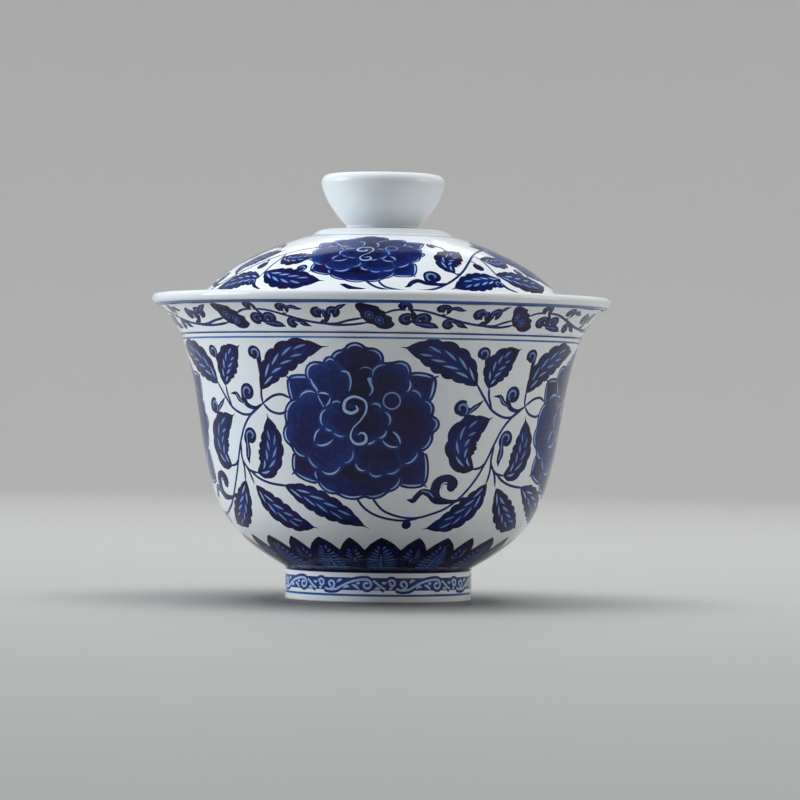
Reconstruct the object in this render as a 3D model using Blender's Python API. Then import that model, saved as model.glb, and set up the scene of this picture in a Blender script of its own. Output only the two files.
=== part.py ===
"""Gaiwan: a lidded porcelain tea bowl, in metres, +Z up.

The origin is on the bowl's axis, at the bottom of the foot ring. The bowl and its foot ring are
turned from one piece of clay. The domed lid sits inside the flare of the lip, and a small
cup-shaped knob is luted onto the lid's crown. The lid lifts straight up out of the bowl.
"""
import math

import bmesh
import bpy
from mathutils import Vector

MM = 0.001
GAP = 0.3 * MM                    # clearance between two pieces that touch

# Driving dimensions of the bowl.
RIM_RADIUS = 50.0 * MM
RIM_HEIGHT = 65.9 * MM
LIP_BEAD = 1.1 * MM               # radius of the rolled lip
BELLY_RADIUS = 37.8 * MM
BELLY_HEIGHT = 30.2 * MM
WALL = 2.2 * MM                   # wall at the lip
BASE_WALL = 3.4 * MM              # wall where it meets the foot
FOOT_RADIUS = 20.3 * MM
FOOT_HEIGHT = 7.0 * MM
FOOT_WALL = 3.0 * MM
FOOT_RECESS = 5.0 * MM            # how deep the base is hollowed inside the foot ring
FOOT_EDGE = 0.4 * MM              # rounding of the foot ring's two lower edges
FLOOR_HEIGHT = 8.2 * MM           # inside floor, at the centre

# Driving dimensions of the lid.
LID_RADIUS = 42.3 * MM
LID_EDGE_HEIGHT = 60.9 * MM
LID_WALL = 2.0 * MM
CROWN_RADIUS = 14.2 * MM          # flat disc on the crown
CROWN_STEP = 1.4 * MM
CROWN_HEIGHT = 80.3 * MM
LID_CEILING = 77.5 * MM           # underside of the lid, at the centre

# Driving dimensions of the knob.
KNOB_NECK = 7.9 * MM
KNOB_RADIUS = 13.5 * MM
KNOB_TOP = 92.4 * MM
KNOB_WALL = 2.2 * MM
KNOB_EDGE = 1.9 * MM              # rounding of the knob's outer top edge
KNOB_INNER_EDGE = 0.5 * MM
KNOB_RECESS = 5.4 * MM

WIDE_STEPS = 48                   # facets around the bowl and the lid
KNOB_STEPS = 32
CURVE_STEPS = 8


def heading(degrees):
    """Unit direction in the (radius, height) plane."""
    angle = math.radians(degrees)
    return Vector((math.cos(angle), math.sin(angle)))


def curve(start, start_reach, end_reach, end, steps=CURVE_STEPS):
    """Cubic curve from start to end. The reaches are vectors to its two handles."""
    start = Vector(start)
    end = Vector(end)
    first = start + Vector(start_reach)
    second = end + Vector(end_reach)
    points = []
    for step in range(steps + 1):
        t = step / steps
        u = 1.0 - t
        points.append(u ** 3 * start + 3 * u * u * t * first + 3 * u * t * t * second + t ** 3 * end)
    return points


def arc(centre, radius, start_degrees, end_degrees, steps=4):
    turn = (end_degrees - start_degrees) / steps
    return [Vector(centre) + radius * heading(start_degrees + turn * step) for step in range(steps + 1)]


def offset(points, first_distance, last_distance):
    """The points moved to their left by a distance that grows along the line."""
    moved = []
    for index, point in enumerate(points):
        before = points[max(index - 1, 0)]
        after = points[min(index + 1, len(points) - 1)]
        along = (after - before).normalized()
        distance = first_distance + (last_distance - first_distance) * index / (len(points) - 1)
        moved.append(point + distance * Vector((-along.y, along.x)))
    return moved


def bowl_outline():
    """Closed half section, from the inside floor up the wall, over the lip and down to the foot."""
    lip_slope = 27.0
    belly_slope = 77.0
    lip_centre = Vector((RIM_RADIUS - LIP_BEAD, RIM_HEIGHT - LIP_BEAD))
    lip_start = lip_centre + LIP_BEAD * heading(lip_slope - 90.0)
    foot_top = (FOOT_RADIUS, FOOT_HEIGHT)
    belly = (BELLY_RADIUS, BELLY_HEIGHT)
    lower = curve(foot_top, 14.0 * MM * heading(28.7), -11.8 * MM * heading(belly_slope), belly)
    upper = curve(belly, 9.6 * MM * heading(belly_slope), -10.0 * MM * heading(lip_slope), lip_start)
    outside = lower + upper[1:]
    inside = offset(outside, BASE_WALL, WALL)
    lip = arc(lip_centre, LIP_BEAD, lip_slope - 90.0, lip_slope + 90.0, steps=6)
    floor = curve((0.0, FLOOR_HEIGHT), (9.0 * MM, 0.0), -3.4 * MM * heading(28.7), inside[0], steps=6)
    foot_inner = FOOT_RADIUS - FOOT_WALL
    foot_low = Vector((0.0, FOOT_EDGE))
    outer_edge = arc(Vector((FOOT_RADIUS - FOOT_EDGE, 0.0)) + foot_low, FOOT_EDGE, 0.0, -90.0, steps=2)
    inner_edge = arc(Vector((foot_inner + FOOT_EDGE, 0.0)) + foot_low, FOOT_EDGE, -90.0, -180.0, steps=2)
    ceiling = [Vector((foot_inner, FOOT_RECESS - FOOT_EDGE)), Vector((foot_inner - FOOT_EDGE, FOOT_RECESS))]
    return (floor + inside[1:-1] + lip[::-1] + outside[-2::-1] + outer_edge + inner_edge + ceiling
            + [Vector((0.0, FOOT_RECESS))])


def lid_outline():
    """Closed half section, from the crown down the outside, round the edge and back up inside."""
    edge_slope = -63.0
    step_low = (CROWN_RADIUS + CROWN_STEP, CROWN_HEIGHT - CROWN_STEP)
    crown = [Vector((0.0, CROWN_HEIGHT))]
    crown += curve((CROWN_RADIUS - CROWN_STEP, CROWN_HEIGHT), (CROWN_STEP, 0.0),
                   -0.8 * MM * heading(-16.0), step_low, steps=4)
    dome = curve(step_low, 12.0 * MM * heading(-16.0), -11.0 * MM * heading(edge_slope),
                 (LID_RADIUS, LID_EDGE_HEIGHT))
    bead = LID_WALL / 2
    edge_centre = Vector((LID_RADIUS, LID_EDGE_HEIGHT)) - bead * heading(edge_slope + 90.0)
    edge = arc(edge_centre, bead, edge_slope + 90.0, edge_slope - 90.0)
    inside = offset(dome, -LID_WALL, -LID_WALL)
    ceiling = curve(inside[0], -5.0 * MM * heading(-16.0), (6.0 * MM, 0.0), (0.0, LID_CEILING), steps=4)
    return crown + dome[1:-1] + edge + inside[-2:0:-1] + ceiling


def knob_outline():
    """Closed half section, from the underside of the neck round the cup and into its recess."""
    bottom = CROWN_HEIGHT + GAP
    neck_top = Vector((KNOB_NECK, bottom + 0.5 * MM))
    shoulder = Vector((KNOB_RADIUS, KNOB_TOP - KNOB_EDGE))
    side = curve(neck_top, 3.4 * MM * heading(44.0), -3.4 * MM * heading(83.0), shoulder, steps=6)
    top_edge = arc(shoulder - Vector((KNOB_EDGE, 0.0)), KNOB_EDGE, 0.0, 90.0)
    hollow_radius = KNOB_RADIUS - KNOB_WALL - KNOB_INNER_EDGE
    inner_edge = arc((hollow_radius, KNOB_TOP - KNOB_INNER_EDGE), KNOB_INNER_EDGE, 90.0, 180.0, steps=2)
    hollow = curve(inner_edge[-1], 3.6 * MM * heading(-95.0), (6.0 * MM, 0.0), (0.0, KNOB_TOP - KNOB_RECESS),
                   steps=6)
    return ([Vector((0.0, bottom)), Vector((KNOB_NECK, bottom))] + side + top_edge[1:] + inner_edge
            + hollow[1:])


def turn_on_wheel(name, outline, seat, steps, material):
    """Piece made by turning a half section, which starts and ends on the axis, about +Z.

    The piece's origin is on the axis at the height of its seat, where it rests on the piece below.
    """
    mesh = bpy.data.meshes.new(name)
    work = bmesh.new()
    profile = [work.verts.new((point.x, 0.0, point.y - seat)) for point in outline]
    edges = [work.edges.new(pair) for pair in zip(profile, profile[1:])]
    bmesh.ops.spin(work, geom=profile + edges, cent=(0.0, 0.0, 0.0), axis=(0.0, 0.0, 1.0),
                   angle=math.tau, steps=steps, use_merge=True)
    bmesh.ops.remove_doubles(work, verts=work.verts, dist=0.001 * MM)
    bmesh.ops.recalc_face_normals(work, faces=work.faces)
    work.to_mesh(mesh)
    work.free()
    mesh.shade_smooth()
    mesh.set_sharp_from_angle(angle=math.radians(40.0))
    mesh.materials.append(material)
    piece = bpy.data.objects.new(name, mesh)
    bpy.context.scene.collection.objects.link(piece)
    piece.location.z = seat
    return piece


def glazed_porcelain(name, colour):
    material = bpy.data.materials.new(name)
    material.use_nodes = True
    shader = material.node_tree.nodes["Principled BSDF"]
    shader.inputs["Base Color"].default_value = (*colour, 1.0)
    shader.inputs["Roughness"].default_value = 0.12
    shader.inputs["Metallic"].default_value = 0.0
    return material


def main():
    for old in list(bpy.data.objects):
        bpy.data.objects.remove(old, do_unlink=True)
    patterned_glaze = glazed_porcelain("patterned_glaze", (0.55, 0.62, 0.78))
    white_glaze = glazed_porcelain("white_glaze", (0.8, 0.83, 0.85))
    turn_on_wheel("bowl", bowl_outline(), 0.0, WIDE_STEPS, patterned_glaze)
    lid = turn_on_wheel("lid", lid_outline(), LID_EDGE_HEIGHT, WIDE_STEPS, patterned_glaze)
    knob = turn_on_wheel("lid_knob", knob_outline(), CROWN_HEIGHT, KNOB_STEPS, white_glaze)
    knob.parent = lid
    knob.location.z -= lid.location.z


main()
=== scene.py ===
"""A blue and white porcelain gaiwan: painted bowl and lid under a clear glaze, and a plain white knob.

Every piece is a closed turned surface. The painting is drawn as flat outlines in millimetres,
around the wall and along it, and is then cut into the surface, so that each brush mark has its own
faces. Each face carries how much cobalt lies there, and the glaze reads it.
"""
import math

import bmesh
import bpy
import numpy as np
from mathutils import Matrix, Vector, geometry, kdtree


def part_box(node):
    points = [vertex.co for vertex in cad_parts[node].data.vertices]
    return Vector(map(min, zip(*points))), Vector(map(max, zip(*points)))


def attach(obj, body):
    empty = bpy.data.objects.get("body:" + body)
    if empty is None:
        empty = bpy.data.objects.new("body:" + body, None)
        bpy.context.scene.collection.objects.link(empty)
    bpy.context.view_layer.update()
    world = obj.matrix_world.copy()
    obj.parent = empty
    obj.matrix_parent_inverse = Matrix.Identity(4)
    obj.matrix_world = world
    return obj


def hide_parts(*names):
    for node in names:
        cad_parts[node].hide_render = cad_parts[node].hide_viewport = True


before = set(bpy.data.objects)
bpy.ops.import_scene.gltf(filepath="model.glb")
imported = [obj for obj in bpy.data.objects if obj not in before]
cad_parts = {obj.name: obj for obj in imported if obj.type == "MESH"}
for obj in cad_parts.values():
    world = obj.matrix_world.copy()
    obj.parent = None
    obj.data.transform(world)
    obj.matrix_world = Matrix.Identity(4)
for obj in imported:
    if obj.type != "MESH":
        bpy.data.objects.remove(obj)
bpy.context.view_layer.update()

MM = 0.001
COLUMNS = 168                 # grid lines around a painted wall
KNOB_COLUMNS = 96
BOWL_REFERENCE = 39.0         # radius at which the bowl's painting is true to size across
LID_REFERENCE = 36.0
FRONT_PEONY = -4.6            # how far each row of the pattern is turned from the middle, along the wall
FRONT_LID_PEONY = -4.3
FRONT_BAND = -1.3
FRONT_COLLAR = 0.8
FRONT_FOOT = -22.0
PEONY_HEIGHT = 39.0           # middle of the bowl's peonies, along the wall from the foot
LID_PEONY_HEIGHT = 19.6
LID_PEONY_SIZE = (0.72, 0.66)     # against the bowl's peony, across and along the wall
GARDENS = 4                   # how often each row of the pattern is repeated round the bowl
PETALS = 14
SCROLLS = 8
FOOT_REPEAT = 15.94           # length of one repeat of the foot's scroll, along the foot
# How far the painter's eye pushed each row of the pattern along the wall: (x, push) pairs.
COLLAR_SPACING = ((0.8, 0.0), (9.8, 1.6), (18.3, 1.2), (35.8, 0.0))
GARDEN_SPACING = ((-60.0, 0.0), (-45.0, 1.2), (-26.0, 1.2), (-19.0, 0.7), (-12.0, 0.0),
                  (5.0, 0.0), (11.0, -0.5), (16.0, 0.0))
BAND_SPACING = ((-60.0, 0.0), (-32.0, 2.1), (-27.0, 2.4), (-20.0, 1.9), (-12.0, 1.2), (-6.0, 0.0),
                (21.0, 0.0), (26.0, -1.8), (29.3, -2.7), (33.0, -2.6), (45.0, -1.4), (60.0, 0.0))
GLAZE_WHITE = (0.78, 0.82, 0.85)

# Amounts of cobalt, from bare white to the heaviest pooled blue.
WHITE = 0.0
FAINT = 0.26
PALE = 0.34
SOFT = 0.44
FADED = 0.52
RIB = 0.54
MIDDLE = 0.62
LINE = 0.72
STEM = 0.82
WITHIN = 0.85
RICH = 0.88
DEEP = 0.93
BLACKEST = 0.97
COATS = ((1.0, -0.08), (0.86, -0.03), (0.68, 0.02))     # size and added cobalt of a petal's three coats


# -------- turned shapes, in millimetres


def heading(degrees):
    angle = math.radians(degrees)
    return np.array((math.cos(angle), math.sin(angle)))


def curve(start, start_reach, end_reach, end, steps=48):
    """Cubic curve from start to end. The reaches are vectors to its two handles."""
    start = np.asarray(start, float)
    end = np.asarray(end, float)
    t = np.linspace(0.0, 1.0, steps + 1)[:, None]
    u = 1.0 - t
    return (u ** 3 * start + 3 * u * u * t * (start + start_reach)
            + 3 * u * t * t * (end + end_reach) + t ** 3 * end)


def arc(centre, radius, start_degrees, end_degrees, steps=12):
    angles = np.radians(np.linspace(start_degrees, end_degrees, steps + 1))
    return np.asarray(centre) + radius * np.stack([np.cos(angles), np.sin(angles)], 1)


def straight(start, end, steps):
    t = np.linspace(0.0, 1.0, steps + 1)[:, None]
    return np.asarray(start) * (1.0 - t) + np.asarray(end) * t


def sideways(path):
    """Unit vectors to the left of the path, which is inside where it runs up the outer wall."""
    along = np.gradient(path, axis=0)
    along /= np.maximum(np.linalg.norm(along, axis=1), 1e-9)[:, None]
    return np.stack([-along[:, 1], along[:, 0]], 1)


def offset(points, first_distance, last_distance):
    """The points moved to their left by a distance that grows along the line."""
    distance = np.linspace(first_distance, last_distance, len(points))[:, None]
    return points + distance * sideways(points)


def join(*runs):
    """One line from several runs that each start where the last one ends."""
    return np.vstack([runs[0]] + [run[1:] for run in runs[1:]])


def spread(run, spacing):
    """The line with points at an even spacing along it."""
    steps = np.hypot(*np.diff(run, axis=0).T)
    length = np.concatenate([[0.0], np.cumsum(steps)])
    wanted = np.linspace(0.0, length[-1], max(2, round(length[-1] / spacing) + 1))
    return np.stack([np.interp(wanted, length, run[:, 0]), np.interp(wanted, length, run[:, 1])], 1)


class Wall:
    """A painted half section, read by the length along it from its lower end."""

    def __init__(self, points, zero=0.0):
        steps = np.hypot(*np.diff(points, axis=0).T)
        self.points = points
        self.outward = -sideways(points)
        self.length = np.concatenate([[0.0], np.cumsum(steps)]) - zero
        self.low = self.length[0]
        self.high = self.length[-1]

    def read(self, s, values):
        return np.stack([np.interp(s, self.length, column) for column in values.T], 1)


def bowl_sections():
    """The painted outside, from the foot up to the lip, and the plain rest, lip to foot by the inside."""
    _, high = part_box("bowl")
    rim_radius = high[0] / MM
    rim_height = high[2] / MM
    bead = 1.1
    lip_slope = 27.0
    belly_slope = 77.0
    belly = (37.8, 30.2)
    foot_radius = 20.3
    foot_height = 7.0
    foot_wall = 3.0
    foot_edge = 0.4
    recess = 5.0
    lip_centre = np.array((rim_radius - bead, rim_height - bead))
    lip_start = lip_centre + bead * heading(lip_slope - 90.0)
    foot_side = straight((foot_radius, foot_edge), (foot_radius, foot_height), 24)
    lower = curve((foot_radius, foot_height), 14.0 * heading(28.7), -11.8 * heading(belly_slope), belly)
    upper = curve(belly, 9.6 * heading(belly_slope), -10.0 * heading(lip_slope), lip_start)
    outside = Wall(join(foot_side, lower, upper), zero=foot_height - foot_edge)
    inside = offset(join(lower, upper), 3.4, 2.2)[::-1]
    lip = arc(lip_centre, bead, lip_slope - 90.0, lip_slope + 90.0)
    floor = curve(inside[-1], -3.4 * heading(28.7), (9.0, 0.0), (0.0, 8.2), steps=24)
    inner = foot_radius - foot_wall
    under = arc((inner - foot_edge, recess - foot_edge), foot_edge, 90.0, 0.0, steps=6)
    under = join(straight((0.0, recess), under[0], 10), under)
    inner_edge = arc((inner + foot_edge, foot_edge), foot_edge, 180.0, 270.0, steps=6)
    outer_edge = arc((foot_radius - foot_edge, foot_edge), foot_edge, -90.0, 0.0, steps=6)
    inner_side = straight(under[-1], inner_edge[0], 6)
    ring = straight(inner_edge[-1], outer_edge[0], 4)
    plain_top = join(lip, spread(inside, 1.2), spread(floor, 1.5))
    plain_bottom = join(under, inner_side, inner_edge, ring, outer_edge)
    return outside, plain_top, plain_bottom


def lid_sections():
    """The painted outside, from the edge up to the crown, the plain crown, and the plain underside."""
    _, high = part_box("lid")
    crown_height = high[2] / MM
    edge_slope = -63.0
    wall = 2.0
    bead = wall / 2
    edge = np.array((42.3, 60.9))
    crown_radius = 14.2
    step = 1.4
    step_low = np.array((crown_radius + step, crown_height - step))
    crown = curve((crown_radius - step, crown_height), (step, 0.0), -0.8 * heading(-16.0), step_low, 10)
    dome = curve(step_low, 12.0 * heading(-16.0), -11.0 * heading(edge_slope), edge)
    outside = Wall(dome[::-1])
    edge_centre = edge - bead * heading(edge_slope + 90.0)
    rounded = arc(edge_centre, bead, edge_slope + 90.0, edge_slope - 90.0)
    inside = offset(dome, -wall, -wall)
    ceiling = curve(inside[0], -5.0 * heading(-16.0), (6.0, 0.0), (0.0, 77.5), steps=12)
    plain_top = join(crown[::-1], straight(crown[0], (0.0, crown_height), 8))
    plain_bottom = join(rounded, spread(inside[::-1], 1.2), ceiling)[::-1]
    return outside, plain_top, plain_bottom


def knob_section():
    """The whole knob, from the middle of its underside round the cup and into its hollow."""
    low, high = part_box("lid_knob")
    radius = high[0] / MM
    bottom = low[2] / MM
    top = high[2] / MM
    edge = 1.9
    inner_edge = 0.5
    neck = 7.9
    foot_rounding = 0.25
    wall = 2.2
    hollow_depth = 5.4
    neck_top = np.array((neck, bottom + 0.5))
    shoulder = np.array((radius, top - edge))
    underside = straight((0.0, bottom), (neck - foot_rounding, bottom), 6)
    turn = arc((neck - foot_rounding, bottom + foot_rounding), foot_rounding, -90.0, 0.0, steps=4)
    side = curve(neck_top, 3.4 * heading(44.0), -3.4 * heading(83.0), shoulder)
    brim = arc(shoulder - (edge, 0.0), edge, 0.0, 90.0)
    hollow_radius = radius - wall - inner_edge
    lip = arc((hollow_radius, top - inner_edge), inner_edge, 90.0, 180.0, steps=6)
    hollow = curve(lip[-1], 3.6 * heading(-95.0), (6.0, 0.0), (0.0, top - hollow_depth), steps=20)
    return join(underside, turn, straight(turn[-1], neck_top, 1), side, brim,
                straight(brim[-1], lip[0], 3), lip, hollow)


# -------- brush marks
# A mark is an outline with its amount of cobalt. Marks are listed from the first painted to the last.


def smooth(points, steps=5, closed=False):
    """Curve through the points. Each point may carry more columns, such as a width."""
    points = np.asarray(points, float)
    if closed:
        padded = np.vstack([points[-1:], points, points[:2]])
    else:
        padded = np.vstack([2 * points[0] - points[1], points, 2 * points[-1] - points[-2]])
    t = (np.arange(steps) / steps)[:, None]
    runs = []
    for a, b, c, d in zip(padded, padded[1:], padded[2:], padded[3:]):
        bend = t ** 2 * (2 * a - 5 * b + 4 * c - d) + t ** 3 * (3 * b - a - 3 * c + d)
        runs.append(0.5 * (2 * b + t * (c - a) + bend))
    if not closed:
        runs.append(points[-1:])
    return np.vstack(runs)


def ribbon(path, width, cobalt):
    """A brush line along a path, in short pieces so that none of them crosses itself."""
    longest = 6
    side = sideways(path) * (np.asarray(width) / 2)[:, None]
    left = path + side
    right = path - side
    pieces = []
    for start in range(0, len(path) - 1, longest):
        stop = min(start + longest, len(path) - 1) + 1
        pieces.append((np.vstack([left[start:stop], right[start:stop][::-1]]), cobalt))
    return pieces


def stroke(points, width=0.58):
    """A stem of even width through points of (x, y), with fine ends."""
    path = smooth(points)
    step = np.arange(len(path))
    taper = np.minimum(1.0, 0.45 + np.minimum(step, step[::-1]) / 4)
    return ribbon(path, width * taper, STEM)


def swelling(points, cobalt, steps=5):
    """A brush line through points of (x, y, width)."""
    path = smooth(points, steps)
    return ribbon(path[:, :2], np.maximum(path[:, 2], 0.03), cobalt)


def blob(points, cobalt):
    return [(smooth(points, 3, closed=True), cobalt)]


def oval(centre, radius, cobalt, height=None, tilt=0.0, steps=16):
    angles = np.linspace(0.0, math.tau, steps, endpoint=False)
    ring = np.stack([radius * np.cos(angles), (height or radius) * np.sin(angles)], 1)
    along = heading(tilt)
    across = np.array((-along[1], along[0]))
    return [(np.asarray(centre) + ring[:, :1] * along + ring[:, 1:] * across, cobalt)]


def ring(centre, radius, width, cobalt):
    path = arc(centre, radius, 0.0, 360.0, steps=14)
    return ribbon(path, np.full(len(path), width), cobalt)


def coil(centre, start_radius, end_radius, start_degrees, turn, steps):
    """Points of a spiral that turns through turn degrees, counterclockwise if positive."""
    t = np.linspace(0.0, 1.0, steps + 1)
    angles = np.radians(start_degrees + turn * t)
    radius = start_radius + (end_radius - start_radius) * t
    return np.asarray(centre) + radius[:, None] * np.stack([np.cos(angles), np.sin(angles)], 1)


def arch(start, end, bulge):
    """A round arch from start to end that stands out to the left by bulge, as a share of its span."""
    start = np.asarray(start, float)
    across = np.asarray(end, float) - start
    out = np.array((-across[1], across[0]))
    rise = np.radians(np.linspace(20.0, 160.0, 9))
    along = (math.cos(rise[0]) - np.cos(rise)) / (2 * math.cos(rise[0]))
    up = (np.sin(rise) - math.sin(rise[0])) / (1.0 - math.sin(rise[0]))
    return start + along[:, None] * across + bulge * up[:, None] * out


def shine(edge, cobalt, width=0.4, inset=0.22):
    """A pale crescent just inside an arched edge, at its right."""
    inner = edge - inset * sideways(edge)
    return ribbon(inner, width * np.sin(np.linspace(0.12, math.pi - 0.12, len(edge))), cobalt)


def petal(cusps, body, bulge, cobalt=DEEP):
    """A petal with an arch between each two cusps, which run clockwise, and a crescent in each arch.

    The wash is laid in coats that shrink towards the petal's heart, where the cobalt is thickest. The
    crescents differ a little in tone from place to place.
    """
    bulges = [bulge] * (len(cusps) - 1) if np.isscalar(bulge) else bulge
    arches = [arch(a, b, swell) for a, b, swell in zip(cusps, cusps[1:], bulges)]
    rims = [(run + 0.45 * sideways(run))[1:-1] for run in arches]
    heart = np.asarray(body, float).reshape(-1, 2)
    outline = np.vstack(arches + [heart])
    middle = heart.mean(0) if len(heart) else outline.mean(0)
    marks = [(np.vstack(rims + [heart]), STEM)]
    for size, extra in COATS:
        marks.append((middle + size * (outline - middle), cobalt + extra))
    for run in arches:
        marks += shine(run[1:-1], PALE + 0.07 * math.sin(9.0 * run[0, 0]))
    return marks


def leaf(base, tip, width, bend, lobes):
    """A scalloped leaf from base to tip whose rib bows to the left by bend, as a share of its length."""
    start = np.asarray(base, float)
    across = np.asarray(tip, float) - start
    left = np.array((-across[1], across[0]))
    return leaf_along([start, start + 0.3 * across + 0.84 * bend * left,
                       start + 0.65 * across + 0.9 * bend * left, start + across], width, lobes)


def leaf_along(points, width, lobes=6):
    """A scalloped leaf on a rib through the points: dark body, a softer wash within, and pale streaks.

    t runs from 0 at the leaf's base to 1 at its tip.
    """
    veins = 4
    rib = spread(smooth(points, 12), 0.3)
    t = np.linspace(0.0, 1.0, len(rib))
    side = sideways(rib)
    along = np.minimum(t / 0.94, 1.0)
    body = (along + 0.01) ** 0.78 * (1.0 - along) ** 0.85
    beak = np.interp(t, (0.0, 0.9, 1.0), (0.1, 0.3, 0.02))
    half = np.maximum(width / 2 * body / body.max(), beak)
    notch = np.abs(np.sin(math.pi * (lobes + 0.35) * t ** 0.9)) ** 0.55
    scallop = 0.88 + 0.2 * notch * np.minimum(1.0, 4.0 * np.minimum(2.0 * t, 1.0 - t))

    def beside(share, hand):
        return rib + hand * (share * half)[:, None] * side

    def strip(share, chosen):
        return np.vstack([beside(share, 1)[chosen], beside(share, -1)[chosen][::-1]])

    inner = 0.5 * np.sin(math.pi * np.clip((t - 0.04) / 0.76, 0.0, 1.0)) ** 0.5
    marks = [(strip(scallop, t >= 0.0), DEEP), (strip(inner, (t > 0.05) & (t < 0.79)), WITHIN)]
    for hand in (1, -1):
        for vein in range(veins):
            first = 0.06 + 0.64 * (vein + 0.45 * (hand > 0)) / veins
            last = first + 0.17
            share = np.interp(t, (first, last), (0.17, 0.44))
            chosen = (t >= first) & (t <= last)
            swell = np.sin(np.linspace(0.2, math.pi - 0.05, chosen.sum()))
            marks += ribbon(beside(share, hand)[chosen], 0.46 * swell, PALE + 0.04 * vein)
    spine = rib[t < 0.9]
    return marks + ribbon(spine, np.linspace(0.36, 0.1, len(spine)), DEEP)


def hook(centre, radius, neck, turn=1, root=0.45, cobalt=DEEP, streak=SOFT):
    """A fiddlehead: a thick dark coil with a pale line wound into it, on a neck from its stem.

    The neck's points start at the coil. turn is 1 for a coil that winds counterclockwise, or -1.
    """
    neck = np.asarray(neck, float)
    away = neck[0] - centre
    start = math.degrees(math.atan2(away[1], away[0])) + 35.0 * turn
    wound = coil(centre, 0.58 * radius, 0.4 * radius, start, turn * 290.0, 8)
    neck_widths = np.linspace(root, 0.72 * radius, len(neck))
    widths = np.concatenate([neck_widths, np.full(len(wound), 0.86 * radius)])
    marks = swelling(np.column_stack([np.vstack([neck[::-1], wound]), widths]), cobalt)
    marks += oval(wound[-1], 0.43 * radius, cobalt, steps=12) + oval(centre, 0.76 * radius, cobalt)
    line = coil(centre, 0.72 * radius, 0.2 * radius, start - 40.0 * turn, turn * 300.0, 14)
    return marks + ribbon(line, 0.24 * radius * np.sin(np.linspace(0.5, math.pi - 0.1, len(line))), streak)


# -------- moving marks about


def moved(marks, shift=(0.0, 0.0), scale=(1.0, 1.0)):
    return [(outline * scale + shift, cobalt) for outline, cobalt in marks]


def repeated(marks, count, period):
    return [(outline + (turn * period, 0.0), cobalt) for turn in range(count) for outline, cobalt in marks]


def ring_line(length, s, width, cobalt):
    """A line right round the wall at s along it, in short pieces whose ends meet."""
    ends = np.linspace(-length / 2, length / 2, 25)
    half = width / 2
    return [(np.array([(a, s - half), (b, s - half), (b, s + half), (a, s + half)]), cobalt)
            for a, b in zip(ends, ends[1:])]


# -------- the bowl's painting, in millimetres
# x runs around the bowl from the middle of a peony, and y up the wall from the foot.


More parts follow.
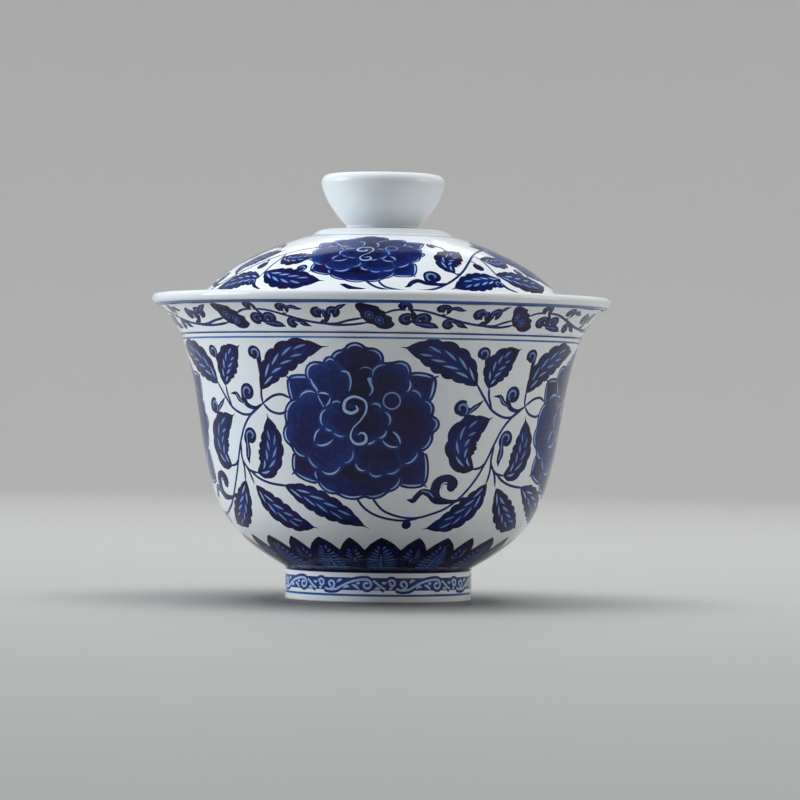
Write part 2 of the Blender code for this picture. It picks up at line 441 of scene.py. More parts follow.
def peony():
    """The great peony about its own centre: corner sepals, outer petals, inner petals, wound heart."""
    low_left = (-4.0, -4.0)
    low_right = (4.0, -4.0)
    marks = []
    marks += petal([(-14.4, 3.4), (-15.3, 8.9), (-9.6, 8.9)], (-6, 4), 0.1)
    marks += petal([(10.4, 9.9), (15.8, 9.3), (15.0, 4.4)], (6, 4), 0.1)
    marks += petal([(14.5, -6.3), (15.1, -13.2), (9.0, -13.2)], (6, -6), 0.1)
    marks += petal([(-9.4, -13.0), (-15.6, -10.9), (-15.0, -6.9)], (-6, -6), 0.1)
    for x, y in ((-15.5, 9.1), (16.1, 9.5), (15.3, -13.5), (-15.9, -11.2)):
        marks += swelling([(0.96 * x, 0.96 * y, 0.9), (x, y, 0.5), (1.04 * x, 1.04 * y, 0.1)], STEM, 3)
    marks += petal([(9.1, -11.4), (6.4, -14.6), (1.2, -15.7), (-4.9, -15.2), (-9.4, -12.6), (-9.8, -10.4)],
                   (low_left, low_right), (0.26, 0.2, 0.17, 0.2, 0.3), BLACKEST)
    marks += petal([(-11.9, -7.6), (-15.5, -5.2), (-16.2, -0.8), (-13.3, 4.4), (-8.4, 5.6)],
                   ((-5, 2), (-6, -5)), (0.24, 0.36, 0.3, 0.28), RICH)
    marks += petal([(10.0, 6.5), (13.4, 4.6), (15.4, 1.2), (15.7, -2.2), (13.2, -5.9), (9.6, -8.9),
                    (7.0, -9.6)], ((3, -5), (3, 4)), (0.3, 0.36, 0.46, 0.28, 0.24, 0.2))
    marks += petal([(-4.9, 12.0), (-2.4, 14.8), (1.6, 15.1), (4.6, 12.2), (4.4, 9.8)],
                   ((2, 5), (-2, 5)), (0.3, 0.38, 0.36, 0.1), BLACKEST)
    marks += petal([(-9.9, 7.6), (-6.6, 11.9), (-4.2, 12.4)],
                   ((-1.6, 10), (-1.6, 5), (-7, 3)), (0.5, 0.5), RICH)
    marks += petal([(2.9, 8.8), (6.4, 11.9), (10.2, 9.2), (9.6, 6.0)],
                   ((6, 3), (2.4, 5)), (0.36, 0.44, 0.3))
    marks += swelling([(-10.0, 8.9, 0.2), (-9.5, 7.8, 0.5), (-8.4, 6.2, 0.4), (-8.2, 4.8, 0.3),
                       (-7.2, 3.0, 0.2)], PALE)
    marks += oval((0.0, 0.0), 6.0, DEEP)
    marks += petal([(-1.2, -5.6), (-3.6, -9.0), (-9.0, -10.2), (-11.7, -7.2)],
                   ((-8, -2), (-3, -2)), (0.34, 0.34, 0.2), RICH)
    marks += petal([(9.2, -9.4), (5.6, -10.9), (2.0, -10.4), (-0.7, -8.4)],
                   ((1, -4), (8, -4)), (0.26, 0.34, 0.34))
    marks += petal([(-5.0, -3.4), (-9.9, -4.8), (-7.9, -1.4)], (-5, -1), (0.24, 0.2), RICH)
    marks += petal([(6.8, -1.8), (9.0, -5.1), (4.8, -3.4)], (4, -1), (0.2, 0.26))
    marks += petal([(-2.6, -3.2), (-5.5, -2.3), (-7.2, -1.6), (-6.2, 2.8), (-2.9, 3.6)],
                   ((0, 3), (0, -3)), (0.2, 0.1, 0.34, 0.34), RICH)
    marks += petal([(2.4, 3.4), (4.9, 2.4), (6.0, -1.4), (3.9, -3.6), (0.6, -4.2)],
                   ((0, -3), (0, 3)), (0.4, 0.36, 0.3, 0.3))
    marks += oval((6.9, 4.4), 1.75, DEEP) + ring((6.9, 4.4), 1.75, 0.34, SOFT)
    marks += petal([(-8.6, 5.7), (-5.6, 5.3), (-7.0, 2.9)], (), 0.2, RICH)
    marks += swelling([(-3.2, 10.6, 0.3), (-1.9, 10.2, 0.4), (-1.4, 8.4, 0.34), (-1.7, 6.4, 0.16)], PALE)
    marks += swelling([(2.3, 9.2, 0.9), (2.5, 8.2, 0.6), (3.0, 6.6, 0.34), (2.3, 5.4, 0.12)], PALE)
    marks += shine(arch((0.4, 10.9), (3.0, 10.6), 0.26), SOFT, width=0.26, inset=0.0)
    return marks + heart_of_peony()


def heart_of_peony():
    """Two spirals joined by a diagonal, as one pale line over a dark ground."""
    line = [(-0.4, 3.3, 0.25), (-0.1, 2.4, 0.55), (-1.4, 1.7, 0.65), (-2.8, 2.4, 0.65), (-2.6, 4.2, 0.6),
            (-0.8, 5.2, 0.5), (1.4, 4.3, 0.42), (1.7, 2.3, 0.4), (0.6, 0.3, 0.26), (-1.0, -1.4, 0.24),
            (-1.6, -3.2, 0.38), (-0.9, -4.5, 0.5), (0.4, -4.8, 0.58), (1.6, -4.2, 0.6), (1.6, -2.9, 0.5),
            (0.8, -2.4, 0.36), (0.0, -2.8, 0.15)]
    under = [(x, y, width + 0.9) for x, y, width in line]
    return swelling(under, DEEP) + swelling(line, FAINT)


def scroll_of_leaves():
    """Stems, leaves and fiddleheads that fill the wall between two peonies."""
    marks = []
    for points in (
            [(24.3, 47.8), (27.2, 43.9), (29.3, 41.6), (32.2, 40.3), (34.7, 40.2), (36.2, 41.0),
             (38.6, 42.6)],
            [(27.8, 46.6), (28.1, 44.4), (29.1, 42.0)],
            [(38.6, 42.6), (35.7, 40.8), (33.0, 38.2), (31.0, 34.8), (29.3, 31.0), (27.2, 27.0),
             (24.2, 23.2), (20.7, 20.4), (17.6, 19.0), (14.6, 18.1), (10.6, 18.1), (6.6, 19.2),
             (4.4, 20.8), (2.4, 23.6)],
            [(15.6, 18.3), (11.6, 17.4), (7.6, 17.6), (3.6, 18.7), (0.8, 20.6), (-1.2, 23.6)],
            [(30.9, 34.4), (30.5, 31.0), (31.2, 29.4), (32.6, 28.1), (35.2, 27.6)],
            [(30.5, 31.0), (30.7, 28.5), (30.2, 25.6)],
            [(31.2, 29.4), (32.3, 27.6), (33.1, 25.2)],
            [(32.6, 28.1), (35.0, 26.5), (38.0, 25.5), (41.0, 25.1), (42.8, 25.0)],
            [(29.2, 30.6), (27.8, 29.4), (25.6, 29.0)],
            [(38.6, 42.6), (41.3, 44.1), (43.8, 44.5), (45.9, 43.7)],
            [(38.6, 42.6), (40.4, 41.0), (43.0, 40.4), (45.0, 41.0)],
            [(38.6, 42.6), (38.4, 44.2), (38.6, 46.4)]):
        marks += stroke(points)
    marks += leaf((24.8, 46.9), (8.2, 54.9), 7.0, -0.11, 6)
    marks += leaf((27.6, 46.4), (34.6, 55.1), 6.2, 0.13, 5)
    marks += leaf((38.4, 45.6), (55.8, 54.9), 6.4, 0.14, 6)
    marks += leaf_along([(26.0, 29.0), (23.4, 30.6), (22.6, 33.8), (24.0, 37.2), (29.9, 40.3)], 7.2)
    marks += leaf_along([(35.0, 27.7), (37.6, 28.6), (39.5, 31.6), (40.1, 35.6), (39.4, 40.6)], 6.6)
    marks += leaf((30.4, 25.8), (16.0, 15.0), 6.0, 0.13, 6)
    marks += leaf((33.6, 24.8), (49.6, 15.0), 6.0, -0.12, 6)
    marks += leaf((42.4, 25.0), (63.6, 15.1), 5.8, 0.02, 7)
    marks += hook((25.4, 53.7), 1.6, [(26.4, 52.4), (26.6, 50.6), (26.9, 49.4)])
    marks += hook((37.9, 53.4), 1.7, [(38.9, 51.9), (38.8, 50.2), (38.7, 48.6)])
    marks += hook((34.6, 45.0), 2.0, [(33.4, 43.6), (34.2, 42.2), (36.4, 41.6), (38.4, 42.4)], -1)
    marks += tendril_leaf([(33.7, 42.4, 0.3), (32.0, 43.4, 1.1), (31.0, 44.6, 0.9), (29.2, 44.6, 0.1)])
    marks += hook((21.9, 41.9), 2.0, [(23.1, 40.6), (23.2, 39.6), (22.9, 38.8)])
    marks += tendril_leaf([(23.2, 40.6, 0.3), (24.5, 41.9, 1.1), (25.6, 42.7, 0.9), (26.9, 43.8, 0.1)])
    marks += hook((34.2, 35.6), 1.9, [(32.7, 35.0), (33.0, 33.6), (33.4, 32.8)], -1)
    marks += tendril_leaf([(32.9, 35.4, 1.0), (33.0, 33.8, 1.2), (33.0, 32.4, 1.6), (32.7, 31.0, 1.2),
                           (32.8, 29.6, 0.1)])
    marks += curled_pair()
    marks += oval((11.6, 16.3), 1.3, DEEP, 1.15)
    return marks


def tendril_leaf(points, streak=SOFT):
    """A small dark leaf with a pale streak down its middle."""
    thin = [(x, y, 0.24 * width) for x, y, width in points]
    return swelling(points, DEEP) + swelling(thin[:-1], streak)


def curled_pair():
    """Two fat curls by the main stem: one wound up, one drawn out into a wavy tail."""
    marks = swelling([(25.0, 22.9, 0.4), (23.2, 22.1, 0.7), (20.6, 21.9, 1.2), (18.4, 22.4, 2.0),
                      (17.6, 24.2, 2.1), (18.2, 26.2, 2.2), (20.1, 26.8, 2.3), (21.5, 26.0, 2.4),
                      (21.3, 25.2, 2.2)], DEEP)
    marks += oval((21.2, 25.2), 1.1, DEEP)
    marks += swelling([(20.0, 21.7, 1.0), (18.0, 22.2, 1.6), (16.6, 23.6, 1.7), (14.8, 24.1, 1.3),
                       (13.4, 22.9, 1.4), (12.6, 22.1, 1.2), (11.0, 22.3, 0.15)], DEEP)
    marks += swelling([(19.0, 24.6, 0.15), (19.0, 25.4, 0.5), (19.5, 26.0, 0.5), (20.2, 26.1, 0.15)], FAINT)
    return marks + swelling([(17.5, 22.9, 0.2), (16.2, 24.0, 0.35), (14.6, 24.3, 0.2)], SOFT)


def small_scroll():
    """The narrow scroll under the lip: a blossom, then fiddleheads along a waving stem."""
    marks = []
    for points in (
            [(1.8, 62.6), (3.5, 63.5), (6.0, 63.7), (9.0, 63.3), (12.5, 62.0), (16.0, 60.8), (19.5, 60.1),
             (23.0, 60.0), (26.0, 60.8), (29.0, 61.5)],
            [(19.5, 60.1), (23.0, 59.7), (26.5, 59.8), (29.5, 60.3)],
            [(5.6, 64.3), (5.2, 63.6)]):
        marks += stroke(points)
    marks += blob([(-3.1, 65.3), (-2.0, 65.6), (-0.9, 65.2), (-0.2, 64.9), (0.7, 64.5), (1.0, 63.7),
                   (1.9, 63.1), (2.1, 62.3), (3.1, 61.7), (3.2, 60.8), (3.7, 59.9), (2.9, 59.0),
                   (1.8, 58.8), (0.7, 59.1), (-0.1, 59.8), (-1.1, 60.1), (-1.8, 60.9), (-2.4, 61.6),
                   (-2.6, 62.8), (-3.2, 64.0)], BLACKEST)
    marks += blossom_eye((-0.9, 62.2)) + blossom_eye((0.9, 60.9))
    marks += curl((5.2, 64.8), 1.3, [(6.2, 64.2), (6.0, 63.6)])
    marks += curl((5.8, 61.2), 1.65, [(7.1, 61.6), (7.0, 62.4), (6.4, 63.5)])
    marks += curl((8.8, 61.3), 1.65, [(7.4, 60.6), (7.0, 61.4), (6.8, 62.6)], -1)
    marks += tendril_leaf([(7.4, 60.2, 0.8), (9.2, 60.0, 1.6), (10.8, 59.7, 1.3), (11.9, 59.2, 0.1)],
                          MIDDLE)
    marks += curl((12.1, 64.1), 1.45, [(13.1, 63.5), (12.7, 62.8), (12.0, 62.2)])
    marks += tendril_leaf([(12.9, 64.0, 0.6), (14.3, 64.3, 1.2), (15.4, 63.8, 0.9), (16.4, 63.7, 0.1)],
                          MIDDLE)
    marks += curl((13.7, 60.2), 1.45, [(14.9, 60.8), (15.6, 61.1)])
    marks += tendril_leaf([(15.0, 60.5, 0.5), (16.0, 60.0, 1.2), (17.6, 59.3, 0.1)], MIDDLE)
    marks += curl((19.4, 62.7), 1.75, [(20.9, 62.1), (20.6, 61.1), (19.6, 60.2)])
    marks += curl((22.8, 62.9), 1.7, [(21.5, 62.0), (21.2, 61.0), (20.6, 60.2)], -1)
    marks += tendril_leaf([(23.2, 63.4, 0.8), (24.2, 64.2, 1.2), (25.0, 64.7, 0.9), (26.0, 65.2, 0.1)],
                          MIDDLE)
    return marks


def curl(centre, radius, neck, turn=1):
    """A dark fiddlehead of the band, with a notch of bare white beside its neck. turn as for a hook."""
    marks = hook(centre, radius, neck, turn, 0.5, BLACKEST, MIDDLE)
    away = np.asarray(neck[0]) - centre
    mouth = math.degrees(math.atan2(away[1], away[0])) - 38.0 * turn
    notch = [np.asarray(centre) + reach * radius * heading(mouth + bend * turn)
             for reach, bend in ((1.1, 0.0), (0.7, 4.0), (0.4, 40.0))]
    return marks + swelling(np.column_stack([notch, (0.5, 0.36, 0.1)]), WHITE, 3)


def blossom_eye(centre):
    return (oval(centre, 0.78, MIDDLE, 1.0, 20.0) + oval(centre, 0.58, BLACKEST, 0.78, 20.0)
            + oval(centre, 0.3, RIB, 0.44, 20.0, 10))


def lotus_petals(period):
    """One broad petal of the collar round x = 0 with its ribs, and the narrow one half hidden beside it."""
    marks = []
    for middle, half_width, ribs in ((period / 2, 4.0, range(4, 7)), (0.0, 5.3, range(8))):
        edge = [(-0.8 * half_width, 0.3), (-half_width, 3.4), (-half_width, 8.2), (-0.6 * half_width, 10.6),
                (-0.25 * half_width, 12.0), (0.0, 12.7)]
        outline = np.array(edge + [(-x, y) for x, y in edge[-2::-1]])
        marks.append((outline + (middle, 0.0), BLACKEST))
        for rib in ribs:
            low = 1.4 + 1.05 * rib
            reach = (half_width + 0.1) * (1.0 - (rib / 8) ** 1.5)
            gap = 0.9 - 0.06 * rib
            rise = 0.3 + 0.13 * rib
            for hand in (-1, 1):
                marks += swelling([(middle + hand * gap, low, 0.35),
                                   (middle + hand * 0.5 * (gap + reach), low + 0.4 * rise, 0.66),
                                   (middle + hand * reach, low + rise, 0.4)], RIB, 4)
    marks += swelling([(period / 2, 3.8, 0.2), (period / 2, 4.8, 0.5), (period / 2, 5.8, 0.2)], RIB, 3)
    return marks + swelling([(0.0, 1.0, 0.9), (0.0, 1.8, 1.5), (0.0, 3.4, 0.8), (0.0, 5.6, 0.6),
                             (0.0, 7.0, 0.2)], RIB, 4)


def foot_scroll():
    """One repeat of the pale scroll round the foot, in true millimetres, and the dark ground beside it."""
    wave = smooth([(-0.6, -3.9), (0.4, -4.2), (2.1, -4.1), (3.1, -3.6), (4.7, -2.8), (6.2, -2.3),
                   (7.8, -2.0)])
    fall = smooth([(10.4, -2.2), (11.2, -2.8), (12.2, -3.6), (13.0, -4.0)])
    lines = [np.vstack([wave, coil((9.0, -3.1), 1.15, 0.3, 100.0, -430.0, 22)]), fall,
             coil((0.9, -3.0), 1.0, 0.3, -100.0, 380.0, 18),
             coil((14.4, -2.8), 0.85, 0.3, 160.0, -380.0, 18)]
    leaves = [[(2.3, -2.7), (2.9, -2.2), (3.6, -2.1)], [(3.8, -3.9), (4.5, -3.45), (5.3, -3.6)],
              [(5.7, -3.1), (6.6, -3.4), (7.5, -4.2)], [(6.7, -2.9), (7.2, -2.75), (7.6, -2.9)],
              [(10.6, -4.1), (11.3, -3.8), (12.0, -4.1)], [(12.2, -2.5), (12.7, -2.7), (13.3, -2.6)],
              [(14.0, -4.2), (14.1, -3.9), (14.6, -3.7)]]
    ground = [mark for line in lines for mark in ribbon(line, np.full(len(line), 1.6), STEM)]
    pale = [mark for line in lines for mark in ribbon(line, np.full(len(line), 0.46), FAINT)]
    for (x1, y1), (x2, y2), (x3, y3) in leaves:
        pale += swelling([(x1, y1, 0.1), (x2, y2, 0.62), (x3, y3, 0.1)], FAINT, 3)
    return ground, pale


def uneven(marks, length, spacing):
    """The marks pushed along the wall by the (x, push) pairs, as spacing done by eye leaves them."""
    places, pushes = zip(*spacing)
    pushed = []
    for outline, cobalt in marks:
        x = outline[:, 0] - length * round(outline[:, 0].mean() / length)
        pushed.append((outline + np.outer(np.interp(x, places, pushes), (1.0, 0.0)), cobalt))
    return pushed


def bowl_painting(wall_length):
    """Every mark on the outside of the bowl. x is 0 at the front."""
    garden = scroll_of_leaves() + moved(peony(), shift=(0.0, PEONY_HEIGHT))
    garden_period = wall_length / GARDENS
    lotus_period = wall_length / PETALS
    scroll_period = wall_length / SCROLLS
    marks = [*ring_line(wall_length, -0.3, 0.6, BLACKEST), *ring_line(wall_length, -2.95, 2.7, STEM)]
    marks += ring_line(wall_length, -5.35, 0.5, MIDDLE)
    for part in foot_scroll():
        wide = moved(part, shift=(FRONT_FOOT, 0.0), scale=(scroll_period / FOOT_REPEAT, 1.0))
        marks += repeated(wide, SCROLLS, scroll_period)
    marks += ring_line(wall_length, 1.6, 3.2, BLACKEST)
    collar = moved(repeated(lotus_petals(lotus_period), PETALS, lotus_period), shift=(FRONT_COLLAR, 0.0))
    marks += uneven(collar, wall_length, COLLAR_SPACING)
    gardens = moved(repeated(garden, GARDENS, garden_period), shift=(FRONT_PEONY, 0.0))
    marks += uneven(gardens, wall_length, GARDEN_SPACING)
    marks += ring_line(wall_length, 56.9, 0.42, FADED) + ring_line(wall_length, 58.0, 0.38, LINE)
    band = moved(repeated(small_scroll(), SCROLLS, scroll_period), shift=(FRONT_BAND, 0.0))
    marks += uneven(band, wall_length, BAND_SPACING)
    # The band under the lip is partly a real blue line and partly painted shade: it is widened to stand for
    # the lip's shadow on the wall below it.
    return marks + ring_line(wall_length, 66.3, 1.2, MIDDLE)


# -------- the lid's painting


def lid_scroll():
    """Stems, leaves and fiddleheads between two peonies of the lid."""
    marks = []
    for points in (
            [(3.3, 9.4), (5.0, 7.2), (9.0, 6.2), (14.0, 6.6), (18.0, 8.6), (22.3, 12.0), (26.5, 16.0),
             (30.5, 19.2), (35.0, 21.5), (39.5, 22.8), (43.0, 23.0), (45.5, 22.4)],
            [(0.5, 9.4), (3.0, 7.2), (6.0, 6.2)],
            [(31.5, 19.6), (32.3, 18.0), (32.1, 15.0), (31.9, 10.2)],
            [(22.0, 11.8), (21.0, 11.7), (20.4, 12.4)],
            [(39.4, 22.8), (41.0, 24.6), (43.6, 25.8)]):
        marks += stroke(points, width=0.55)
    marks += leaf_along([(20.6, 12.0), (19.9, 14.6), (21.7, 17.8), (28.4, 21.6)], 6.3)
    marks += leaf((31.9, 10.2), (18.2, 6.8), 5.4, -0.06, 6)
    marks += leaf((32.2, 12.1), (49.0, 8.9), 6.2, -0.05, 6)
    marks += leaf((32.6, 18.2), (42.8, 19.4), 5.2, -0.16, 5)
    marks += hook((41.8, 13.2), 1.5, [(41.9, 11.8), (41.2, 11.0)])
    marks += oval((28.6, 14.6), 1.4, DEEP) + stroke([(29.0, 15.6), (28.4, 16.8), (27.6, 17.0)])
    marks += hook((15.1, 10.6), 2.1, [(14.0, 9.2), (15.6, 8.2), (17.6, 8.4)], -1, root=0.6)
    marks += swelling([(15.6, 8.0, 0.6), (13.4, 8.4, 1.0), (11.8, 9.2, 1.2), (10.4, 8.6, 1.1),
                       (9.6, 7.6, 0.8), (8.7, 7.2, 0.1)], DEEP)
    marks += hook((30.4, 8.8), 1.4, [(31.6, 8.4), (32.6, 7.4), (34.8, 6.4)], root=0.3)
    marks += hook((20.3, 24.4), 1.5, [(21.8, 24.4), (23.2, 23.4), (23.8, 21.4)])
    marks += swelling([(-4.2, 7.9, 0.1), (-3.2, 7.6, 0.9), (-1.6, 6.8, 1.0), (1.0, 6.6, 0.2)], DEEP)
    return marks


def fanned(marks, wall, reference):
    """Marks drawn at true size, spread so that they keep that size on the narrowing dome."""
    spread_out = []
    for outline, cobalt in marks:
        radius = wall.read(outline[:, 1], wall.points)[:, 0]
        spread_out.append((np.stack([outline[:, 0] * reference / radius, outline[:, 1]], 1), cobalt))
    return spread_out


def lid_painting(wall_length, wall, reference):
    """Every mark on the outside of the lid. x is 0 at the front."""
    flower = moved(peony(), shift=(0.0, LID_PEONY_HEIGHT), scale=LID_PEONY_SIZE)
    garden = lid_scroll() + fanned(flower, wall, reference)
    marks = ring_line(wall_length, 2.2, 0.4, MIDDLE) + ring_line(wall_length, 3.3, 0.4, MIDDLE)
    marks += moved(repeated(garden, GARDENS, wall_length / GARDENS), shift=(FRONT_LID_PEONY, 0.0))
    return marks + ring_line(wall_length, 32.2, 0.34, MIDDLE)


# -------- from outlines to a surface


def wrapped(marks, length):
    """The marks brought within half a turn of the front. One that crosses the seam is there twice."""
    kept = []
    for outline, cobalt in marks:
        low = outline[:, 0].min()
        high = outline[:, 0].max()
        turn = -length * math.floor((low + high) / (2 * length) + 0.5)
        places = [turn]
        if high + turn > length / 2:
            places.append(turn - length)
        if low + turn < -length / 2:
            places.append(turn + length)
        for place in places:
            kept.append((outline + (place, 0.0), cobalt))
    return kept


def clockwise(outline):
    x, y = outline.T
    return np.sum(x * np.roll(y, -1) - y * np.roll(x, -1)) < 0.0


def cut_into_wall(wall, marks, length, columns):
    """Points and triangles of the flat, unrolled wall, and the cobalt of the last mark over each triangle.

    A grid bends the wall. Its points that lie close to a drawn one are left out.
    """
    spacing = length / columns
    rows = max(2, round((wall.high - wall.low) / spacing))
    xs = -length / 2 + spacing * np.arange(columns + 1)
    ys = np.linspace(wall.low, wall.high, rows + 1)
    border = ([(x, wall.low) for x in xs[:-1]] + [(length / 2, y) for y in ys[:-1]]
              + [(x, wall.high) for x in xs[:0:-1]] + [(-length / 2, y) for y in ys[:0:-1]])
    outlines = [np.array(border)]
    cobalts = [WHITE]
    for outline, cobalt in wrapped(marks, length):
        outlines.append(outline[::-1] if clockwise(outline) else outline)
        cobalts.append(cobalt)
    drawn = np.vstack(outlines[1:])
    near = kdtree.KDTree(len(drawn))
    for index, point in enumerate(drawn):
        near.insert((*point, 0.0), index)
    near.balance()
    free = [(x, y) for x in xs[1:-1] for y in ys[1:-1] if near.find((x, y, 0.0))[2] > 0.3 * spacing]
    points = [Vector(point) for outline in outlines for point in outline]
    points += [Vector(point) for point in free]
    faces = []
    first = 0
    for outline in outlines:
        faces.append(list(range(first, first + len(outline))))
        first += len(outline)
    flat, _, triangles, _, _, sources = geometry.delaunay_2d_cdt(points, [], faces, 1, 1e-5)
    flat = np.array(flat)
    lows = np.array([outline.min(0) for outline in outlines])
    highs = np.array([outline.max(0) for outline in outlines])
    kept = []
    tones = []
    for triangle, covering in zip(triangles, sources):
        if 0 not in covering:       # beyond the wall's border, which is outline 0
            continue
        middle = flat[triangle].mean(0)
        over = [mark for mark in covering if (lows[mark] < middle).all() and (middle < highs[mark]).all()]
        kept.append(triangle)
        tones.append(cobalts[max(over)])
    return flat, kept, tones


def around_axis(radius, height, angle):
    """Points on the turned surface, in metres. Angle 0 faces the camera, towards -Y."""
    return MM * np.stack([radius * np.sin(angle), -radius * np.cos(angle), height], 1)


def lathe(section, columns, first):
    """Points, normals and faces of a plain turned band. first is the number of its first point."""
    angles = math.tau * (np.arange(columns) / columns - 0.5)
    outward = -sideways(section)
    points = []
    facing = []
    for (radius, height), (out, up) in zip(section, outward):
        points.append(around_axis(np.full(columns, radius), np.full(columns, height), angles))
        facing.append(around_axis(np.full(columns, out), np.full(columns, up), angles) / MM)
    faces = []
    for row in range(len(section) - 1):
        for column in range(columns):
            after = (column + 1) % columns
            low = first + row * columns
            high = low + columns
            faces.append((low + column, low + after, high + after, high + column))
    return np.vstack(points), np.vstack(facing), faces


def turned_piece(name, bands, columns, painted=None, length=0.0, marks=()):
    """A closed piece from the painted wall, where there is one, and plain bands.

    Bands run from the middle of the underside, up the outside and over to the middle of the inside.
    """
    points = []
    facing = []
    faces = []
    cobalts = []
    count = 0
    if painted:
        flat, triangles, cobalts = cut_into_wall(painted, marks, length, columns)
        place = painted.read(flat[:, 1], painted.points)
        out = painted.read(flat[:, 1], painted.outward)
        angle = math.tau * flat[:, 0] / length
        points.append(around_axis(place[:, 0], place[:, 1], angle))
        facing.append(around_axis(out[:, 0], out[:, 1], angle) / MM)
        faces += triangles
        count = len(flat)
    for band in bands:
        more_points, more_facing, more_faces = lathe(band, columns, count)
        points.append(more_points)
        facing.append(more_facing)
        faces += more_faces
        cobalts += [WHITE] * len(more_faces)
        count += len(more_points)
    mesh = bpy.data.meshes.new(name)
    mesh.from_pydata(np.vstack(points), [], faces)
    cobalt = mesh.attributes.new("cobalt", "FLOAT", "FACE")
    cobalt.data.foreach_set("value", cobalts)
    outward = mesh.attributes.new("facing", "FLOAT_VECTOR", "POINT")
    outward.data.foreach_set("vector", np.vstack(facing).ravel())
    weld(mesh)
    piece = bpy.data.objects.new(name, mesh)
    bpy.context.scene.collection.objects.link(piece)
    return piece


def weld(mesh):
    """Joins the seam and the bands, then shades by the true normals of the turned surface."""
    work = bmesh.new()
    work.from_mesh(mesh)
    bmesh.ops.remove_doubles(work, verts=work.verts, dist=0.002 * MM)
    work.to_mesh(mesh)
    work.free()
    facing = np.zeros(len(mesh.vertices) * 3)
    mesh.attributes["facing"].data.foreach_get("vector", facing)
    mesh.shade_smooth()
    mesh.normals_split_custom_set_from_vertices(facing.reshape(-1, 3))
    mesh.attributes.remove(mesh.attributes["facing"])


# -------- materials


def new_material(name):
    material = bpy.data.materials.new(name)
    material.use_nodes = True
    nodes = material.node_tree.nodes
    return material, nodes, material.node_tree.links, nodes["Principled BSDF"]


def noise(nodes, links, coordinates, scale, detail=3.0):
    texture = nodes.new("ShaderNodeTexNoise")
    texture.inputs["Scale"].default_value = scale
    texture.inputs["Detail"].default_value = detail
    links.new(coordinates.outputs["Object"], texture.inputs["Vector"])
    return texture.outputs["Fac"]


def remap(nodes, links, value, low, high, to_low, to_high):
    node = nodes.new("ShaderNodeMapRange")
    node.inputs["From Min"].default_value = low
    node.inputs["From Max"].default_value = high
    node.inputs["To Min"].default_value = to_low
    node.inputs["To Max"].default_value = to_high
    links.new(value, node.inputs["Value"])
    return node.outputs["Result"]


def multiply(nodes, links, first, second):
    node = nodes.new("ShaderNodeMath")
    node.operation = "MULTIPLY"
    links.new(first, node.inputs[0])
    links.new(second, node.inputs[1])
    return node.outputs["Value"]


def tinted(nodes, links, value, low, high):
    """A colour that runs from low to high with the value."""
    ramp = nodes.new("ShaderNodeValToRGB")
    ramp.color_ramp.elements[0].color = (*low, 1.0)
    ramp.color_ramp.elements[1].color = (*high, 1.0)
    links.new(value, ramp.inputs["Fac"])
    return ramp.outputs["Color"]


def glaze_surface(nodes, links, shader, coordinates):
    """Clear glossy glaze: slight waves, and a faint change of gloss from place to place."""
    shader.inputs["IOR"].default_value = 1.5
    shader.inputs["Specular IOR Level"].default_value = 0.32
    shader.inputs["Subsurface Weight"].default_value = 0.08
    shader.inputs["Subsurface Scale"].default_value = 0.002
    gloss = noise(nodes, links, coordinates, 60.0)
    links.new(remap(nodes, links, gloss, 0.3, 0.7, 0.07, 0.13), shader.inputs["Roughness"])
    waves = noise(nodes, links, coordinates, 110.0, detail=1.0)
    bump = nodes.new("ShaderNodeBump")
    bump.inputs["Strength"].default_value = 0.25
    bump.inputs["Distance"].default_value = 0.0004
    links.new(waves, bump.inputs["Height"])
    links.new(bump.outputs["Normal"], shader.inputs["Normal"])


def painted_porcelain():
    """White porcelain with cobalt under the glaze. Thick cobalt gathers in spots and burns violet."""
    material, nodes, links, shader = new_material("painted_porcelain")
    coordinates = nodes.new("ShaderNodeTexCoord")
    cobalt = nodes.new("ShaderNodeAttribute")
    cobalt.attribute_name = "cobalt"
    wash = remap(nodes, links, noise(nodes, links, coordinates, 160.0), 0.3, 0.7, 0.93, 1.05)
    spots = remap(nodes, links, noise(nodes, links, coordinates, 900.0, 4.0), 0.35, 0.75, 0.97, 1.05)
    amount = multiply(nodes, links, multiply(nodes, links, cobalt.outputs["Fac"], wash), spots)
    ramp = nodes.new("ShaderNodeValToRGB")
    stops = ramp.color_ramp.elements
    stops[0].position = 0.0
    stops[0].color = (*GLAZE_WHITE, 1.0)
    stops[1].position = 1.0
    stops[1].color = (0.0015, 0.001, 0.022, 1.0)
    for position, colour in ((0.2, (0.46, 0.61, 0.84)), (0.35, (0.21, 0.37, 0.68)),
                             (0.55, (0.045, 0.13, 0.4)), (0.72, (0.01, 0.042, 0.235)),
                             (0.88, (0.003, 0.01, 0.095))):
        stop = stops.new(position)
        stop.color = (*colour, 1.0)
    links.new(amount, ramp.inputs["Fac"])
    patches = remap(nodes, links, noise(nodes, links, coordinates, 70.0), 0.48, 0.62, 0.0, 0.8)
    thick = remap(nodes, links, amount, 0.74, 0.9, 0.0, 1.0)
    burnt = nodes.new("ShaderNodeMix")
    burnt.data_type = "RGBA"
    links.new(multiply(nodes, links, patches, thick), burnt.inputs[0])
    links.new(ramp.outputs["Color"], burnt.inputs[6])
    burnt.inputs[7].default_value = (0.014, 0.003, 0.045, 1.0)
    links.new(burnt.outputs[2], shader.inputs["Base Color"])
    glaze_surface(nodes, links, shader, coordinates)
    return material


def white_porcelain():
    """Plain white glaze, a little uneven in tone."""
    material, nodes, links, shader = new_material("white_porcelain")
    coordinates = nodes.new("ShaderNodeTexCoord")
    cloud = noise(nodes, links, coordinates, 90.0)
    links.new(tinted(nodes, links, cloud, GLAZE_WHITE, (0.8, 0.83, 0.845)), shader.inputs["Base Color"])
    glaze_surface(nodes, links, shader, coordinates)
    return material


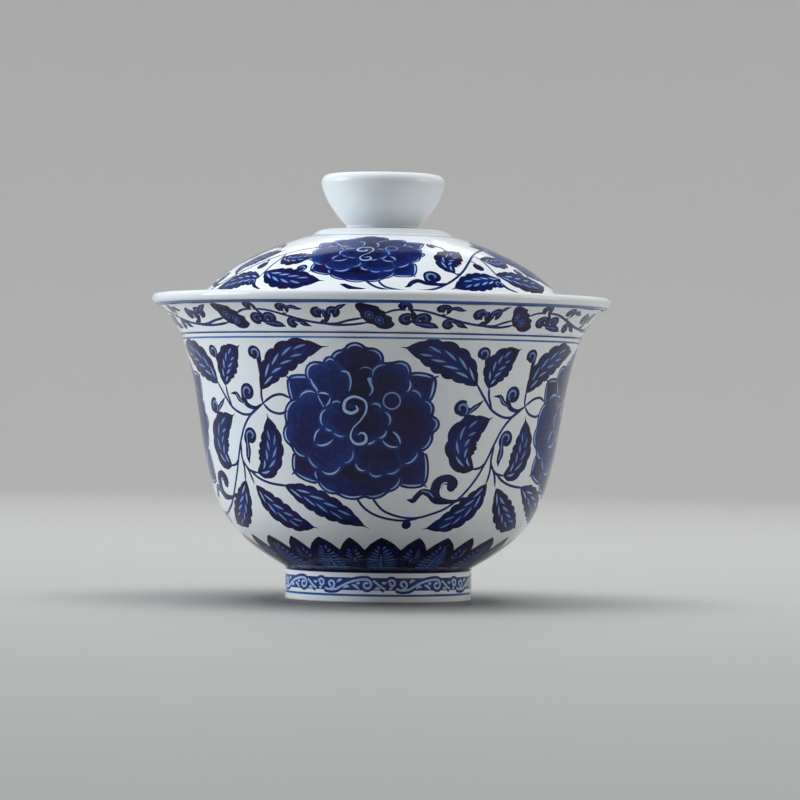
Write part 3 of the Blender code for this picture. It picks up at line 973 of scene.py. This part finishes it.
def bare_clay():
    """The unglazed ring that the bowl stands on: matt, slightly warm, with fine grains."""
    material, nodes, links, shader = new_material("bare_clay")
    coordinates = nodes.new("ShaderNodeTexCoord")
    grain = noise(nodes, links, coordinates, 2500.0)
    tint = tinted(nodes, links, grain, (0.55, 0.49, 0.42), (0.72, 0.68, 0.62))
    links.new(tint, shader.inputs["Base Color"])
    shader.inputs["Roughness"].default_value = 0.75
    return material


# -------- the three pieces


def give_glaze(piece, body, node, slot, *materials):
    for material in materials:
        piece.data.materials.append(material)
    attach(piece, body)
    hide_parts(node)


def make_bowl():
    wall, plain_top, plain_bottom = bowl_sections()
    length = math.tau * BOWL_REFERENCE
    marks = bowl_painting(length)
    bowl = turned_piece("painted_bowl", (plain_bottom, plain_top), COLUMNS, wall, length, marks)
    give_glaze(bowl, "bowl", "bowl", "painted_glaze", painted_porcelain(), bare_clay())
    standing = 0.25 * MM
    for face in bowl.data.polygons:
        face.material_index = int(face.center.z < standing)


def make_lid():
    wall, plain_top, plain_bottom = lid_sections()
    length = math.tau * LID_REFERENCE
    marks = lid_painting(length, wall, LID_REFERENCE)
    lid = turned_piece("painted_lid", (plain_bottom, plain_top), COLUMNS, wall, length, marks)
    give_glaze(lid, "lid", "lid", "painted_glaze", painted_porcelain())


def make_knob():
    knob = turned_piece("white_knob", (knob_section(),), KNOB_COLUMNS)
    give_glaze(knob, "lid", "lid_knob", "white_glaze", white_porcelain())


# -------- camera, light and floor


def make_camera():
    """The photograph's view: level with the middle of the bowl, from about 0.86 m away."""
    camera = bpy.data.objects.new("camera", bpy.data.cameras.new("camera"))
    bpy.context.scene.collection.objects.link(camera)
    camera.data.lens = 177.0
    camera.data.sensor_width = 36.0
    camera.data.clip_start = 0.01
    yaw = math.radians(0.284)
    pitch = math.radians(0.159)
    roll = math.radians(0.739)
    turn = Matrix.Rotation(-yaw, 4, "Z") @ Matrix.Rotation(math.pi / 2 + pitch, 4, "X")
    camera.matrix_world = Matrix.Translation((0.0, -0.857, 0.041)) @ turn @ Matrix.Rotation(roll, 4, "Z")
    bpy.context.scene.camera = camera


def soft_light(name, place, target, width, height, power, colour, mirrored=True):
    """Area light. If it isn't mirrored, it lights the glaze but leaves no highlight on it."""
    data = bpy.data.lights.new(name, "AREA")
    data.shape = "RECTANGLE"
    data.size = width
    data.size_y = height
    data.energy = power
    data.color = colour
    light = bpy.data.objects.new(name, data)
    bpy.context.scene.collection.objects.link(light)
    light.location = place
    light.visible_camera = False
    light.visible_glossy = mirrored
    light.rotation_euler = (Vector(target) - Vector(place)).to_track_quat("-Z", "Y").to_euler()
    return light


def make_lights(floor):
    """The side lights stand low and would burn out the floor beside them, so they don't light it."""
    middle = (0.0, 0.0, 0.05)
    not_floor = bpy.data.collections.new("not_floor")
    not_floor.objects.link(floor)
    not_floor.collection_objects[0].light_linking.link_state = "EXCLUDE"
    window = soft_light("window_left", (-1.1, -0.1, 0.35), middle, 0.6, 0.7, 10.0, (0.86, 0.94, 1.0))
    soft_light("sky_above", (0.0, 0.15, 1.3), middle, 1.4, 1.2, 16.0, (0.94, 0.98, 1.0), mirrored=False)
    soft_light("sky_behind", (0.0, 1.05, 0.87), middle, 0.6, 0.42, 0.75, (0.92, 0.97, 1.0))
    fill = soft_light("fill_right", (1.1, -0.1, 0.3), middle, 0.5, 0.6, 3.0, (1.0, 0.97, 0.94))
    window.light_linking.receiver_collection = not_floor
    fill.light_linking.receiver_collection = not_floor
    soft_light("backdrop", (0.0, 0.2, 1.3), (0.0, 1.5, 0.4), 1.0, 0.5, 7.5, (1.0, 1.0, 1.0),
               mirrored=False)
    world = bpy.data.worlds.new("world")
    world.use_nodes = True
    world.node_tree.nodes["Background"].inputs["Color"].default_value = (0.62, 0.64, 0.65, 1.0)
    world.node_tree.nodes["Background"].inputs["Strength"].default_value = 0.14
    bpy.context.scene.world = world
    bpy.context.scene.view_settings.view_transform = "Standard"


def make_floor():
    """A pale round floor that curves up into a wall, far enough away for every view."""
    radius = 1500.0
    bend = 400.0
    height = 1500.0
    section = join(straight((radius, height), (radius, bend), 2),
                   arc((radius - bend, bend), bend, 0.0, -90.0),
                   straight((radius - bend, 0.0), (0.0, 0.0), 12))
    points, _, faces = lathe(section, 96, 0)
    mesh = bpy.data.meshes.new("floor")
    mesh.from_pydata(points, [], faces)
    mesh.shade_smooth()
    floor = bpy.data.objects.new("floor", mesh)
    bpy.context.scene.collection.objects.link(floor)
    material, _, _, shader = new_material("pale_floor")
    shader.inputs["Base Color"].default_value = (0.52, 0.515, 0.505, 1.0)
    shader.inputs["Roughness"].default_value = 0.6
    mesh.materials.append(material)
    return floor


make_bowl()
make_lid()
make_knob()
make_camera()
make_lights(make_floor())
